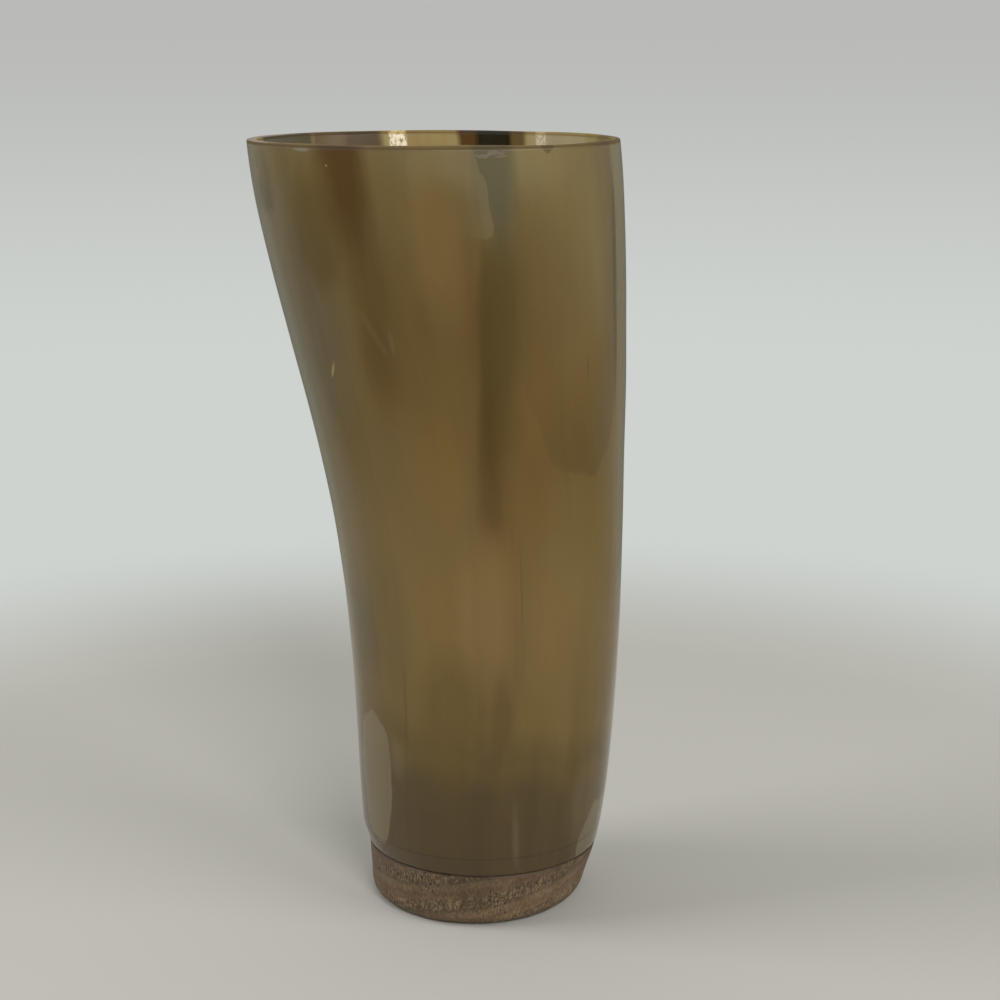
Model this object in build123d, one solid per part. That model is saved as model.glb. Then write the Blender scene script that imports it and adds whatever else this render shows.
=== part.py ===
from build123d import *

import os
from math import comb

# Horn drinking cup: a hollow length of horn that leans to one side, closed at its
# narrow end by a turned wooden plug. The plug's tenon is glued into a round socket
# in the horn, and a poured seal covers the plug inside the cup.
# Millimetres. The origin is the centre of the plug's underside, +Z is up, and the
# horn leans towards -X.

# Overall
CUP_HEIGHT = 151.4  # table to rim
FOOT_HEIGHT = 11.5  # wood that shows below the horn

# Horn, outside
SEAM_DIAMETER = 46.4  # horn at its lower edge, where it is round
SEAM_LEAN = 1.5  # socket axis from the foot's axis, towards +X
BAND_HEIGHT = 3.8  # band above the seam that is sanded to meet the wood
# How far each wall stands outside the seam's edge: the control points of a Bezier curve,
# evenly spaced in height from the top of the band up to the rim.
LEFT_FLARE = (1.2, 3.6, 0.1, 18.4, 21.2)
RIGHT_FLARE = (0.8, 6.2, 2.8, 6.7, 2.9)
MOUTH_FLATTENING = 2.5  # by this much the mouth is narrower from front to back than across

# Horn, inside
RIM_WALL = 1.9
RIM_BORE_SHIFT = 0.5  # the bore lies towards +X at the rim, so the leaning lip is thicker
SOCKET_WALL = 2.3  # horn left round the socket at the seam
LEDGE = 0.6  # step above the socket that the tenon stops against

# Wooden plug
FOOT_DIAMETER = 42.0
FOOT_ROUND = 2.8  # round on the edge that meets the table
FOOT_INSET = 0.15  # the wood stands this far inside the horn's lower edge
TENON_HEIGHT = 12.0
TENON_CHAMFER = 0.8

# Joint and seal
GLUE_GAP = 0.2  # between the tenon and the socket
GLUE_LINE = 0.25  # between the plug's shoulder and the horn's lower edge
SEAL_THICKNESS = 1.0
SEAL_FILLET = 1.5  # how far the seal climbs the wall

# Edges
LIP_ROUND = 0.5  # on both edges of the lip
SEAM_ROUND = 0.2
ROUND_LIMIT = 0.4  # largest round, as a share of the wall that carries it
LEVEL_SLACK = 0.01  # an edge this close to a level lies on it

# Levels
HORN_SECTIONS = 13
seam_level = FOOT_HEIGHT + GLUE_LINE
band_level = seam_level + BAND_HEIGHT
floor_level = FOOT_HEIGHT + TENON_HEIGHT
seam_radius = SEAM_DIAMETER / 2
shoulder_radius = seam_radius - FOOT_INSET
socket_radius = seam_radius - SOCKET_WALL
tenon_radius = socket_radius - GLUE_GAP
bore_radius = socket_radius - LEDGE
thin_lip = RIM_WALL - abs(RIM_BORE_SHIFT)


def bezier(controls, share):
    """The value of a Bezier curve at a share, 0 to 1, of the way along it."""
    degree = len(controls) - 1
    weights = [comb(degree, k) * share**k * (1 - share) ** (degree - k) for k in range(degree + 1)]
    return sum(weight * control for weight, control in zip(weights, controls))


def outer_section(level):
    """Centre, half width and half depth of the horn's outside at a level."""
    share = (level - band_level) / (CUP_HEIGHT - band_level)
    left = SEAM_LEAN - seam_radius - bezier(LEFT_FLARE, share)
    right = SEAM_LEAN + seam_radius + bezier(RIGHT_FLARE, share)
    half_width = (right - left) / 2
    return (right + left) / 2, half_width, half_width - share * MOUTH_FLATTENING / 2


def bore_section(level):
    """Centre, half width and half depth of the horn's inside at a level above the ledge."""
    share = (level - floor_level) / (CUP_HEIGHT - floor_level)
    centre, half_width, half_depth = outer_section(level)
    floor_centre, floor_width, floor_depth = outer_section(floor_level)
    shift = (1 - share) * (SEAM_LEAN - floor_centre) + share * RIM_BORE_SHIFT
    wall_x = (1 - share) * (floor_width - bore_radius) + share * RIM_WALL
    wall_y = (1 - share) * (floor_depth - bore_radius) + share * RIM_WALL
    return centre + shift, half_width - wall_x, half_depth - wall_y


def oval(section, level):
    """An oval face at a level, from its centre, half width and half depth."""
    centre, half_width, half_depth = section
    return Pos(centre, 0, level) * Ellipse(half_width, half_depth)


def levels(low, high):
    """Evenly spaced levels for a loft."""
    return [low + (high - low) * k / (HORN_SECTIONS - 1) for k in range(HORN_SECTIONS)]


def edges_at(solid, level):
    """The edges of a solid that lie flat at a level."""
    return solid.edges().filter_by_position(Axis.Z, level - LEVEL_SLACK, level + LEVEL_SLACK)


def make_bore():
    """The space inside the cup, from the ledge up to the rim."""
    return loft([oval(bore_section(level), level) for level in levels(floor_level, CUP_HEIGHT)])


def make_horn(bore):
    """The horn: its outside, less the bore and the socket for the tenon."""
    wall = loft([oval(outer_section(level), level) for level in levels(band_level, CUP_HEIGHT)])
    seam_face = Pos(SEAM_LEAN, 0, seam_level) * Circle(seam_radius)
    band = loft([seam_face, oval(outer_section(band_level), band_level)], ruled=True)
    socket_height = floor_level - seam_level
    socket = Pos(SEAM_LEAN, 0, seam_level) * extrude(Circle(socket_radius), socket_height)
    horn = (wall + band) - bore - socket
    rim_edges = edges_at(horn, CUP_HEIGHT)
    horn = fillet(rim_edges, min(LIP_ROUND, ROUND_LIMIT * thin_lip))
    seam_edge = edges_at(horn, seam_level).sort_by(SortBy.LENGTH)[-1]
    return fillet(seam_edge, min(SEAM_ROUND, ROUND_LIMIT * SOCKET_WALL))


def make_plug():
    """The wooden plug: a foot that tapers down from the seam, and the tenon on top of it."""
    shoulder = Pos(SEAM_LEAN, 0, FOOT_HEIGHT) * Circle(shoulder_radius)
    foot = loft([Circle(FOOT_DIAMETER / 2), shoulder], ruled=True)
    foot = fillet(edges_at(foot, 0), FOOT_ROUND)
    foot = fillet(edges_at(foot, FOOT_HEIGHT), SEAM_ROUND)
    tenon = Pos(SEAM_LEAN, 0, FOOT_HEIGHT) * extrude(Circle(tenon_radius), TENON_HEIGHT)
    tenon = chamfer(edges_at(tenon, floor_level), TENON_CHAMFER)
    return foot + tenon


def make_glue():
    """The cured glue: a sleeve round the tenon and a thin ring on the plug's shoulder."""
    sleeve_top = floor_level - TENON_CHAMFER
    ring_radius = shoulder_radius - SEAM_ROUND
    corners = [
        (tenon_radius, FOOT_HEIGHT),
        (ring_radius, FOOT_HEIGHT),
        (ring_radius, seam_level),
        (socket_radius, seam_level),
        (socket_radius, sleeve_top),
        (tenon_radius, sleeve_top),
    ]
    outline = make_face(Polyline([(r, 0, z) for r, z in corners], close=True))
    return Pos(SEAM_LEAN, 0, 0) * revolve(outline, Axis.Z)


def make_seal(bore):
    """The poured seal on the plug's top: a flat floor that climbs the wall in a fillet."""
    slab_radius = bore_radius + SEAL_FILLET  # past the wall, which cuts it to fit
    slab = Pos(SEAM_LEAN, 0, floor_level) * extrude(Circle(slab_radius), SEAL_THICKNESS + SEAL_FILLET)
    dish_level = floor_level + SEAL_THICKNESS
    dish = Pos(SEAM_LEAN, 0, dish_level) * extrude(Circle(bore_radius), 2 * SEAL_FILLET)
    dish = fillet(edges_at(dish, dish_level), SEAL_FILLET)
    return (slab & bore) - dish


bore_space = make_bore()
pieces = {
    "horn_body": make_horn(bore_space),
    "base_plug": make_plug(),
    "glue_joint": make_glue(),
    "floor_seal": make_seal(bore_space),
}

os.makedirs("parts", exist_ok=True)
for name, piece in pieces.items():
    export_step(piece, f"parts/{name}.step")
    print(name, "volume", round(piece.volume), "mm3", "valid", piece.is_valid)
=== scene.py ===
import logging
import math
from dataclasses import dataclass
from enum import Enum
from typing import Iterable

import bpy
from mathutils import Euler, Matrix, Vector, noise


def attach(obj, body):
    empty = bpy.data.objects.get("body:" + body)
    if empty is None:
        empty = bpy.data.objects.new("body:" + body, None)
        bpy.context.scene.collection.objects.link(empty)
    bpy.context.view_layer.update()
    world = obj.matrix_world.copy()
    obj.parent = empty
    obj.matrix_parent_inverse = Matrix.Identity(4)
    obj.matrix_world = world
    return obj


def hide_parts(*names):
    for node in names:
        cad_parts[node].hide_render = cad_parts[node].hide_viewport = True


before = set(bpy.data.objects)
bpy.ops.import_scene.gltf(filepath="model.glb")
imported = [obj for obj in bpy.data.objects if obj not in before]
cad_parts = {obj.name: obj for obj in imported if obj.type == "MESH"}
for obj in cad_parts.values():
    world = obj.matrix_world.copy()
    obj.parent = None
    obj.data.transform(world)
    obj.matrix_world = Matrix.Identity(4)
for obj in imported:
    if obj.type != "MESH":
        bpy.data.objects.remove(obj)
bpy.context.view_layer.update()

MM = 0.001

# Sizes that several pieces share
LEAN = 1.5 * MM  # the socket's axis from the foot's axis, towards +X
FOOT_HEIGHT = 11.5 * MM
FOOT_INSET = 0.15 * MM  # the wood stands this far inside the horn's lower edge
GLUE_LINE = 0.25 * MM
GLUE_GAP = 0.2 * MM
TENON_HEIGHT = 12.0 * MM
TENON_CHAMFER = 0.8 * MM
SOCKET_WALL = 2.3 * MM
LEDGE = 0.6 * MM  # the step above the socket
SEAM_ROUND = 0.2 * MM
SEAM_RADIUS = 23.2 * MM
SEAM_LEVEL = FOOT_HEIGHT + GLUE_LINE
FLOOR_LEVEL = FOOT_HEIGHT + TENON_HEIGHT
SHOULDER_RADIUS = SEAM_RADIUS - FOOT_INSET
SOCKET_RADIUS = SEAM_RADIUS - SOCKET_WALL
TENON_RADIUS = SOCKET_RADIUS - GLUE_GAP
BORE_RADIUS = SOCKET_RADIUS - LEDGE
START_RADIUS = 1.0 * MM  # the first ring of a piece that is closed in its middle

# The wood's vessels
VESSEL_TURN = (math.radians(8.0), math.radians(-11.0), 0.0)
PORE_CLUSTERS = 330.0  # how fine the clusters of pores are

Socket = bpy.types.NodeSocket
Pair = tuple[float, float]
Triple = tuple[float, float, float]
Tone = Triple
Value = float | Triple | Socket

log = logging.getLogger("horn_cup")


class Slot(Enum):
    """The record's material slots."""

    HORN = "horn"
    WOOD = "wood"
    GLUE = "glue"
    SEAL = "seal"


@dataclass(frozen=True)
class Grain:
    """Noise with its own fineness along each axis, the number of its finer layers and their strength."""

    fineness: Triple
    detail: float = 2.0
    rough: float = 0.5


@dataclass(frozen=True)
class Tint:
    """A gain on a colour that grows with a noise, from nothing at start to its strength at full."""

    grain: Grain
    start: float
    full: float
    strength: float
    gain: Tone


@dataclass(frozen=True)
class Drift:
    """How coordinates wander to and fro, and how far along each axis."""

    grain: Grain
    reach: Triple


class NodeBench:
    """Adds and links the nodes of one material or world."""

    def __init__(self, owner: bpy.types.Material | bpy.types.World) -> None:
        """Clears the owner's nodes.

        Args:
            owner: The material or world whose nodes are made.
        """
        owner.use_nodes = True
        self.tree = owner.node_tree
        self.tree.nodes.clear()

    @classmethod
    def for_material(cls, name: str) -> tuple["NodeBench", bpy.types.Material]:
        """A bench on a new material.

        Args:
            name: The material's name.

        Returns:
            The bench and its material.
        """
        material = bpy.data.materials.new(name)
        return cls(material), material

    def add(self, kind: str, inputs: dict[str | int, Value], **settings: object) -> bpy.types.Node:
        """Adds a node.

        Args:
            kind: Blender's name of the node type.
            inputs: Constants or sockets for the node's inputs, by name or number.
            **settings: The node's own properties.

        Returns:
            The new node.
        """
        node = self.tree.nodes.new(kind)
        for name, setting in settings.items():
            setattr(node, name, setting)
        for name, value in inputs.items():
            self.feed(node.inputs[name], value)
        return node

    def feed(self, target: Socket, value: Value) -> None:
        """Links a socket to a target, or sets the target's constant.

        Args:
            target: The input that is fed.
            value: A socket or a constant.
        """
        if isinstance(value, bpy.types.NodeSocket):
            self.tree.links.new(value, target)
        elif target.type == "RGBA":
            target.default_value = (*value, 1.0)
        else:
            target.default_value = value

    def attribute(self, name: str) -> Socket:
        """The vector of one of the piece's attributes."""
        return self.add("ShaderNodeAttribute", {}, attribute_name=name).outputs["Vector"]

    def amount(self, name: str) -> Socket:
        """The number of one of the piece's attributes."""
        return self.add("ShaderNodeAttribute", {}, attribute_name=name).outputs["Fac"]

    def place(self) -> Socket:
        """Object coordinates."""
        return self.add("ShaderNodeTexCoord", {}).outputs["Object"]

    def part(self, vector: Socket, axis: str) -> Socket:
        """One of a vector's three numbers."""
        return self.add("ShaderNodeSeparateXYZ", {0: vector}).outputs[axis]

    def math(self, operation: str, first: Value, second: Value = 0.0, third: Value = 0.0) -> Socket:
        """A sum on numbers.

        Args:
            operation: Blender's name of the sum.
            first: The first number.
            second: The second number.
            third: The third number, where the sum takes one.

        Returns:
            The result.
        """
        inputs = {0: first, 1: second, 2: third}
        return self.add("ShaderNodeMath", inputs, operation=operation).outputs[0]

    def vector(self, operation: str, first: Value, second: Value) -> Socket:
        """A sum on vectors.

        Args:
            operation: Blender's name of the sum.
            first: The first vector.
            second: The second vector, or a number for SCALE.

        Returns:
            The result, a number for a dot product or a distance and a vector otherwise.
        """
        inputs = {0: first, "Scale": second} if operation == "SCALE" else {0: first, 1: second}
        node = self.add("ShaderNodeVectorMath", inputs, operation=operation)
        return node.outputs["Value" if operation in ("DOT_PRODUCT", "DISTANCE") else "Vector"]

    def span(self, value: Value, low: Value, high: Value, start: Value = 0.0, end: Value = 1.0) -> Socket:
        """A smooth step.

        Args:
            value: The number that is mapped.
            low: Where the step starts.
            high: Where the step ends.
            start: The result at and below low.
            end: The result at and above high.

        Returns:
            The mapped number.
        """
        inputs = {"Value": value, "From Min": low, "From Max": high, "To Min": start, "To Max": end}
        node = self.add("ShaderNodeMapRange", inputs, interpolation_type="SMOOTHSTEP")
        return node.outputs["Result"]

    def noise(self, vector: Socket, scale: float, detail: float = 2.0, rough: float = 0.5) -> bpy.types.Node:
        """A noise texture.

        Args:
            vector: Where the noise is read.
            scale: How fine it is.
            detail: How many finer layers it has.
            rough: How strong the finer layers are.

        Returns:
            The node, for its number (Fac) or its vector (Color).
        """
        inputs = {"Vector": vector, "Scale": scale, "Detail": detail, "Roughness": rough}
        return self.add("ShaderNodeTexNoise", inputs)

    def grain(self, vector: Socket, grain: Grain) -> bpy.types.Node:
        """Noise with its own fineness along each axis.

        Args:
            vector: Where the noise is read.
            grain: The noise.

        Returns:
            The node, for its number (Fac) or its vector (Color).
        """
        stretched = self.vector("MULTIPLY", vector, grain.fineness)
        return self.noise(stretched, 1.0, grain.detail, grain.rough)

    def tint(self, colour: Socket, vector: Socket, tint: Tint) -> Socket:
        """Tints a colour where a noise is strong.

        Args:
            colour: The colour.
            vector: Where the noise is read.
            tint: The noise, its range and its gain.

        Returns:
            The tinted colour.
        """
        noise_value = self.grain(vector, tint.grain).outputs["Fac"]
        strength = self.span(noise_value, tint.start, tint.full, 0.0, tint.strength)
        return self.mix(strength, colour, tint.gain, "MULTIPLY")

    def mix(self, factor: Value, first: Value, second: Value, blend: str = "MIX") -> Socket:
        """Mixes two colours.

        Args:
            factor: How much of the second colour.
            first: The first colour.
            second: The second colour.
            blend: Blender's name of the way of mixing.

        Returns:
            The mixed colour.
        """
        node = self.add("ShaderNodeMix", {0: factor, 6: first, 7: second}, data_type="RGBA", blend_type=blend)
        return node.outputs[2]

    def ramp(self, value: Socket, stops: Iterable[tuple[float, Tone]]) -> Socket:
        """A row of colours.

        Args:
            value: Where on the row, 0 to 1.
            stops: The place and colour of each stop.

        Returns:
            The colour there.
        """
        node = self.add("ShaderNodeValToRGB", {"Fac": value})
        elements = node.color_ramp.elements
        while len(elements) > 1:
            elements.remove(elements[-1])
        for number, (place, tone) in enumerate(stops):
            element = elements[0] if number == 0 else elements.new(place)
            element.position = place
            element.color = (*tone, 1.0)
        node.color_ramp.interpolation = "EASE"
        return node.outputs["Color"]

    def bump(self, height: Socket, strength: float, depth: float, under: Socket | None = None) -> Socket:
        """A bump in the surface's normal.

        Args:
            height: The bump's height, 0 to 1.
            strength: How strong it is.
            depth: How deep it is, in metres.
            under: A normal that this one adds to.

        Returns:
            The normal.
        """
        inputs: dict[str | int, Value] = {"Height": height, "Strength": strength, "Distance": depth}
        if under is not None:
            inputs["Normal"] = under
        return self.add("ShaderNodeBump", inputs).outputs["Normal"]

    def surface(self, inputs: dict[str | int, Value]) -> None:
        """Makes a principled surface and links it to the output.

        Args:
            inputs: Constants or sockets for its inputs.
        """
        node = self.add("ShaderNodeBsdfPrincipled", inputs)
        self.add("ShaderNodeOutputMaterial", {"Surface": node.outputs[0]})


class Edge(Enum):
    """How a patch in the horn ends."""

    MELTING = "broad, slow wandering"
    RAGGED = "small steps, as a thin layer that is sanded through"
    # RAGGED also edges the painted reflections and the painted highlights on the lip's scuffs
    STRAIGHT = "clean, as a crack or a scratch"


class Fade(Enum):
    """The way in which a patch in the horn dies away."""

    LEFT = "strongest at its right side"
    RIGHT = "strongest at its left side"
    INWARD = "strongest along its edge"
    UP = "strongest at its lower end, gone at its centre"


class HornTone(Enum):
    """The horn's pigments, linear, and the tones of its painted highlights, sparkle and reflections."""

    GOLD = (0.200, 0.128, 0.036)
    HONEY = (0.168, 0.103, 0.019)
    TAN = (0.225, 0.175, 0.080)
    MIST = (0.115, 0.112, 0.075)
    AMBER = (0.186, 0.120, 0.037)
    OLIVE = (0.187, 0.138, 0.056)
    MILKY = (0.205, 0.165, 0.090)
    # painted reflection: the pale leaf near the rim and the pale patches low on both sides
    LAYER = (0.178, 0.144, 0.077)
    BROWN = (0.105, 0.066, 0.020)
    CHESTNUT = (0.100, 0.060, 0.008)
    RED_BROWN = (0.074, 0.034, 0.006)
    UMBER = (0.060, 0.040, 0.009)
    SLATE = (0.100, 0.090, 0.049)
    SOOT = (0.008, 0.006, 0.003)
    DUSK = (0.080, 0.066, 0.041)
    DRAB = (0.083, 0.057, 0.032)
    BUFF = (0.128, 0.089, 0.045)
    # painted highlight: the sparkle on the scraper's ripples just inside the rim
    PAINTED_SPARKLE = (0.850, 0.760, 0.560)
    IVORY = (0.360, 0.305, 0.190)
    STRAW = (0.420, 0.330, 0.130)
    # painted highlight: glints on the lip, on its scuffs and on its top
    PAINTED_HIGHLIGHT = (0.250, 0.215, 0.180)


@dataclass(frozen=True)
class Patch:
    """A patch or streak of another tone that goes through the horn's wall; some patches are painted
    highlights, reflections and shade instead.

    Angles are in degrees from the front, positive to the right, and levels are shares
    of the horn's height, 0 at the seam and 1 at the rim. Left, right, up and down say
    how far it goes from its centre, core is the share of that which has its full
    strength, lean is how many degrees it goes right over the horn's whole height, and
    power is 1 for a diamond, 2 for an oval and more for a shape with fuller corners.
    """

    tone: HornTone
    strength: float
    angle: float
    level: float
    left: float
    right: float
    up: float
    down: float
    core: float = 0.0
    lean: float = 0.0
    power: float = 2.0
    edge: Edge = Edge.MELTING
    fades: tuple[Fade, ...] = ()


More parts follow.
